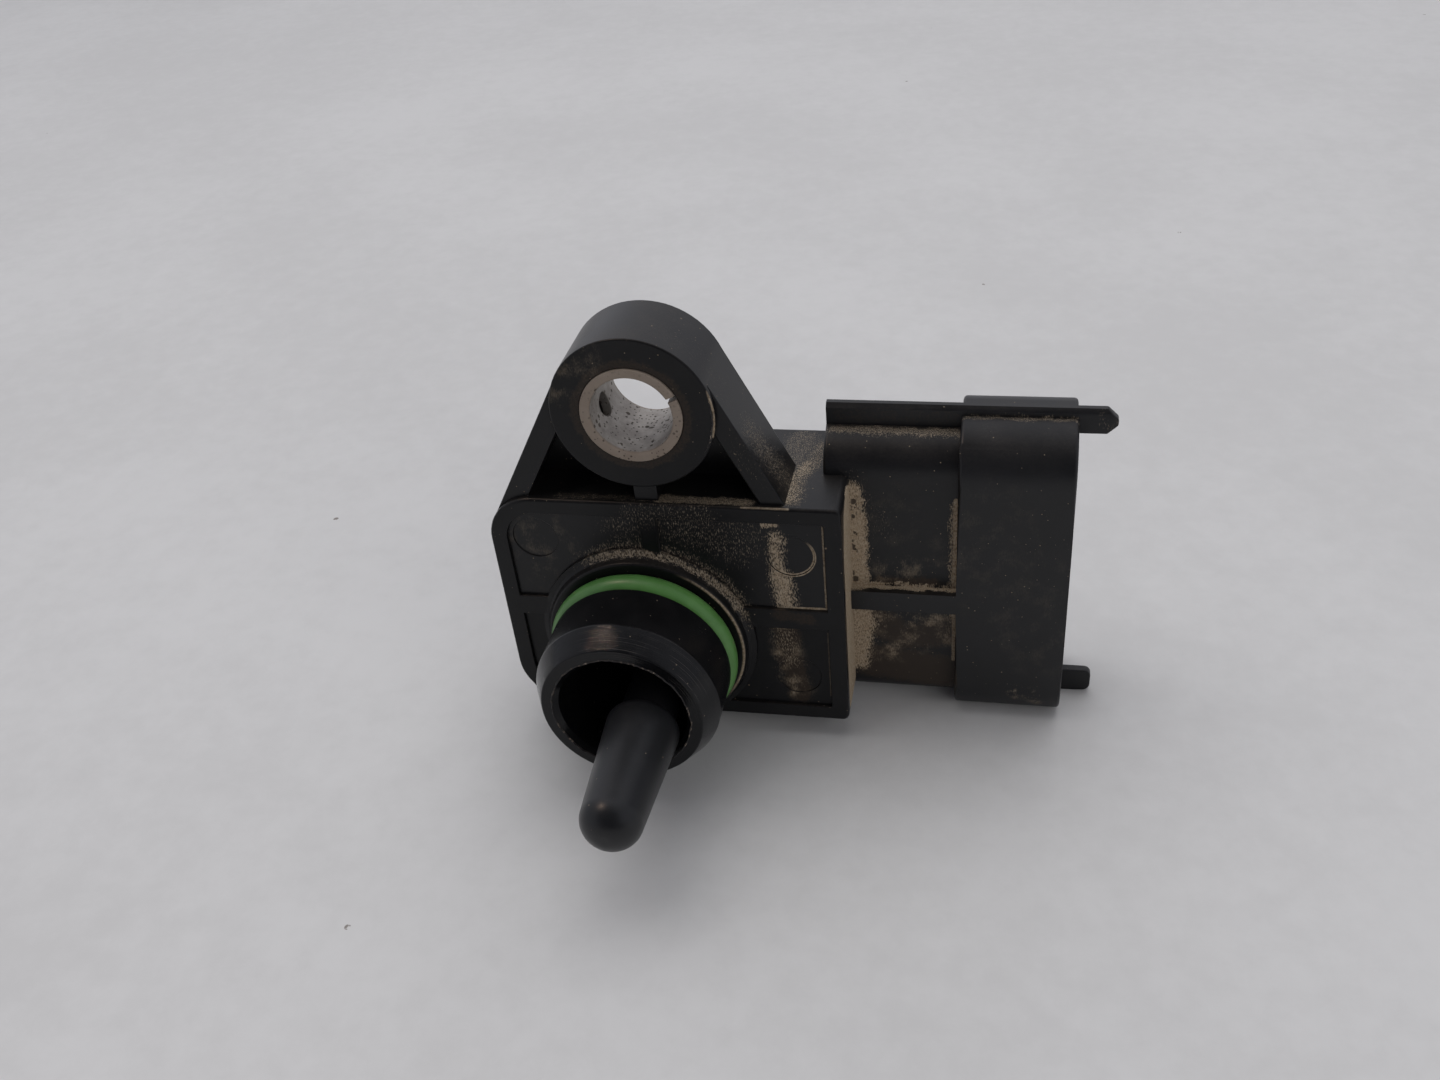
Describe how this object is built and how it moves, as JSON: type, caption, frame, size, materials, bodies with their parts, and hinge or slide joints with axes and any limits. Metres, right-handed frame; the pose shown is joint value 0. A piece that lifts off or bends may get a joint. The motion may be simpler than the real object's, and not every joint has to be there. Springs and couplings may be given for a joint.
{
  "type": "manifold pressure and temperature sensor",
  "caption": "Black plastic engine sensor with a sealed port, a slim probe, a bolt ear with a steel bush and a side connector, dusty from use.",
  "frame": {"origin": "on the axis of the port, in the flange face that seats on the manifold", "axes": "+X towards the mouth of the electrical connector, -Y along the port and probe into the manifold, +Z from the port up to the mounting bush"},
  "size_m": [0.0506, 0.0356, 0.0392],
  "materials": {
    "housing_plastic": "satin black moulded plastic with tan dust",
    "bush_steel": "dull rolled steel with brown specks",
    "seal_rubber": "green satin rubber",
    "probe_plastic": "satin black moulded plastic",
    "thermistor_glass": "glassy",
    "lead_wire": "tinned wire",
    "board_laminate": "satin solder mask",
    "cell_ceramic": "matt ceramic",
    "die_silicon": "polished silicon",
    "cell_rubber": "soft silicone",
    "chip_plastic": "matt moulded plastic",
    "terminal_metal": "tinned brass",
    "capacitor_ceramic": "matt ceramic with tinned ends",
    "resistor_ceramic": "glazed top with tinned ends",
    "cover_plastic": "satin black moulded plastic",
    "adhesive_rubber": "cured silicone bead"
  },
  "bodies": {
    "root": {"housing": "housing_plastic", "mounting_bush": "bush_steel", "port_seal_ring": "seal_rubber", "probe_sleeve": "probe_plastic", "thermistor": "thermistor_glass", "thermistor_lead_left": "lead_wire", "thermistor_lead_right": "lead_wire", "circuit_board": "board_laminate", "pressure_cell": "cell_ceramic", "pressure_die": "die_silicon", "cell_seal": "cell_rubber", "signal_chip": "chip_plastic", "terminal_1": "terminal_metal", "terminal_2": "terminal_metal", "terminal_3": "terminal_metal", "terminal_4": "terminal_metal", "capacitor_1": "capacitor_ceramic", "capacitor_2": "capacitor_ceramic", "capacitor_3": "capacitor_ceramic", "capacitor_4": "capacitor_ceramic", "resistor_left": "resistor_ceramic", "resistor_right": "resistor_ceramic", "back_cover": "cover_plastic", "cover_adhesive": "adhesive_rubber"}
  },
  "joints": []
}
